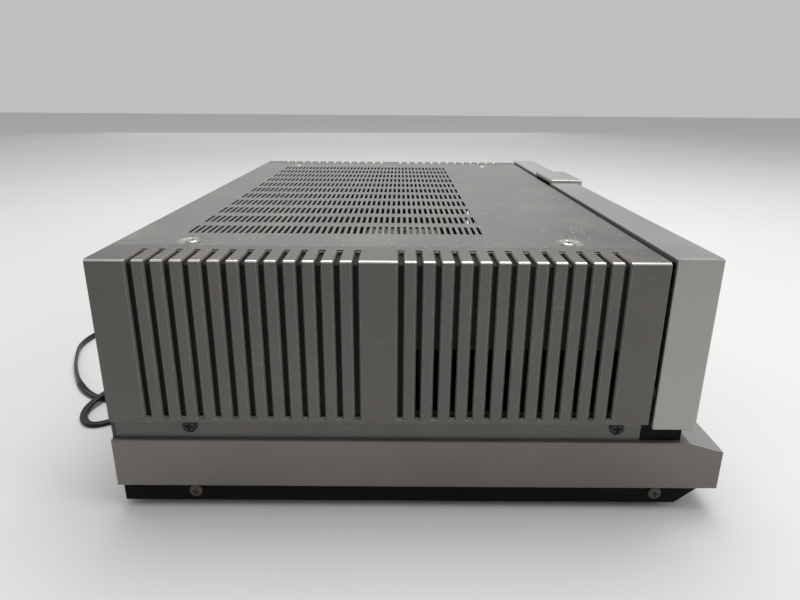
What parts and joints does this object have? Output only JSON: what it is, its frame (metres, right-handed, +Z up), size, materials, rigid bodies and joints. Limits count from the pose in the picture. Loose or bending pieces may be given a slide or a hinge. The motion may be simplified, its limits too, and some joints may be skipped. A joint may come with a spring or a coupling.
{
  "type": "power amplifier",
  "caption": "Wide, low hi-fi power amplifier: ribbed grey side panels, slotted top cover, stepped silver front with level meters, sloped base tray and flat mains lead.",
  "frame": {"origin": "on the surface that the feet stand on, under the middle of the case and its rear sockets", "axes": "+X to the right as seen from the front, -Y out of the front, +Z up"},
  "size_m": [0.435, 0.447, 0.142],
  "materials": {
    "rubber": "matt moulded rubber",
    "black_paint": "satin black paint",
    "zinc": "zinc plated",
    "worn_screw": "dull black finish worn to bare steel",
    "black_screw": "black finish",
    "bright_screw": "bright plated",
    "tray_paint": "satin metallic grey paint",
    "panel_paint": "satin metallic grey paint",
    "inner_sheet": "dull dark brown-grey",
    "cover_paint": "fine satin metallic grey paint",
    "front_silver": "brushed, satin silver",
    "window": "clear acrylic",
    "dial": "pale printed dial",
    "movement": "dull plated steel",
    "lamp_glass": "small clear bulb",
    "needle": "matt black pointer",
    "button": "satin silver cap",
    "switch_plastic": "moulded",
    "red_lens": "clear red lens",
    "knob_metal": "turned and brushed",
    "shaft_steel": "ground",
    "rear_paint": "fine black-grey paint",
    "black_plastic": "moulded black",
    "socket_metal": "plated",
    "insert_plastic": "white and red insulators",
    "stud_metal": "nickel plated brass",
    "red_cap": "moulded red",
    "black_cap": "moulded black",
    "black_anodised": "black anodised",
    "epoxy": "moulded epoxy",
    "board": "paper-phenolic board",
    "core_steel": "varnished laminations",
    "winding": "taped copper winding",
    "capacitor": "shrink sleeve",
    "relay": "clear blue case",
    "lead": "flat twin flexible lead",
    "tie": "twist strip",
    "plug_plastic": "moulded plug with plated blades"
  },
  "bodies": {
    "root": {"feet": "rubber", "bottom_pan": "black_paint", "front_subpanel": "black_paint", "meter_bezel": "black_paint", "foot_screws": "zinc", "pan_screws": "worn_screw", "side_screws": "black_screw", "rear_screws": "black_screw", "top_screws": "bright_screw", "base_tray": "tray_paint", "side_panel_left": "panel_paint", "side_panel_right": "panel_paint", "inner_plate_left": "inner_sheet", "inner_plate_right": "inner_sheet", "top_cover": "cover_paint", "front_panel_left": "front_silver", "front_panel_right": "front_silver", "front_block": "front_silver", "meter_window": "window", "meter_scales": "dial", "meter_movements": "movement", "level_controls": "movement", "meter_lamps": "lamp_glass", "power_switch": "switch_plastic", "button_switches": "switch_plastic", "power_lamp": "red_lens", "rear_panel": "rear_paint", "input_plate": "black_plastic", "terminal_plate": "black_plastic", "strain_relief": "black_plastic", "input_sockets": "socket_metal", "input_inserts": "insert_plastic", "terminal_studs": "stud_metal", "heat_sink_left": "black_anodised", "heat_sink_right": "black_anodised", "output_transistors": "epoxy", "driver_board_left": "board", "driver_board_right": "board", "supply_board": "board", "transformer_core": "core_steel", "transformer_winding": "winding", "filter_capacitors": "capacitor", "protection_relay": "relay", "power_cord": "lead", "cord_coil": "lead", "cord_tie": "tie", "plug": "plug_plastic"},
    "needle_left": {"needle_left": "needle"},
    "needle_right": {"needle_right": "needle"},
    "power_button": {"power_button": "button"},
    "speaker_button": {"speaker_button": "button"},
    "range_button": {"range_button": "button"},
    "level_left": {"level_knob_left": "knob_metal", "level_shaft_left": "shaft_steel"},
    "level_right": {"level_knob_right": "knob_metal", "level_shaft_right": "shaft_steel"},
    "cap_1": {"terminal_cap_1": "red_cap"},
    "cap_2": {"terminal_cap_2": "red_cap"},
    "cap_3": {"terminal_cap_3": "black_cap"},
    "cap_4": {"terminal_cap_4": "black_cap"}
  },
  "joints": [
    {"name": "needle_left_swing", "type": "hinge", "parent": "root", "child": "needle_left", "pos_m": [-0.1501, -0.135, 0.0685], "axis": [0, 1, 0], "range_deg": [0, 84], "stiffness_Nm_per_rad": 0.0005, "springref_deg": -20.05},
    {"name": "needle_right_swing", "type": "hinge", "parent": "root", "child": "needle_right", "pos_m": [-0.0321, -0.135, 0.0685], "axis": [0, 1, 0], "range_deg": [0, 84], "stiffness_Nm_per_rad": 0.0005, "springref_deg": -20.05},
    {"name": "power_press", "type": "slide", "parent": "root", "child": "power_button", "axis": [0, 1, 0], "range_m": [0, 0.004], "stiffness_N_per_m": 400},
    {"name": "speaker_press", "type": "slide", "parent": "root", "child": "speaker_button", "axis": [0, 1, 0], "range_m": [0, 0.003], "stiffness_N_per_m": 300},
    {"name": "range_press", "type": "slide", "parent": "root", "child": "range_button", "axis": [0, 1, 0], "range_m": [0, 0.003], "stiffness_N_per_m": 300},
    {"name": "level_left_turn", "type": "hinge", "parent": "root", "child": "level_left", "pos_m": [0.1311, -0.155, 0.1075], "axis": [0, 1, 0], "range_deg": [-150, 150]},
    {"name": "level_right_turn", "type": "hinge", "parent": "root", "child": "level_right", "pos_m": [0.1831, -0.155, 0.1075], "axis": [0, 1, 0], "range_deg": [-150, 150]},
    {"name": "cap_1_turn", "type": "hinge", "parent": "root", "child": "cap_1", "pos_m": [-0.074, 0.1595, 0.0945], "axis": [0, 1, 0], "continuous": true},
    {"name": "cap_2_turn", "type": "hinge", "parent": "root", "child": "cap_2", "pos_m": [-0.05, 0.1595, 0.0945], "axis": [0, 1, 0], "continuous": true},
    {"name": "cap_3_turn", "type": "hinge", "parent": "root", "child": "cap_3", "pos_m": [-0.074, 0.1595, 0.0705], "axis": [0, 1, 0], "continuous": true},
    {"name": "cap_4_turn", "type": "hinge", "parent": "root", "child": "cap_4", "pos_m": [-0.05, 0.1595, 0.0705], "axis": [0, 1, 0], "continuous": true}
  ]
}
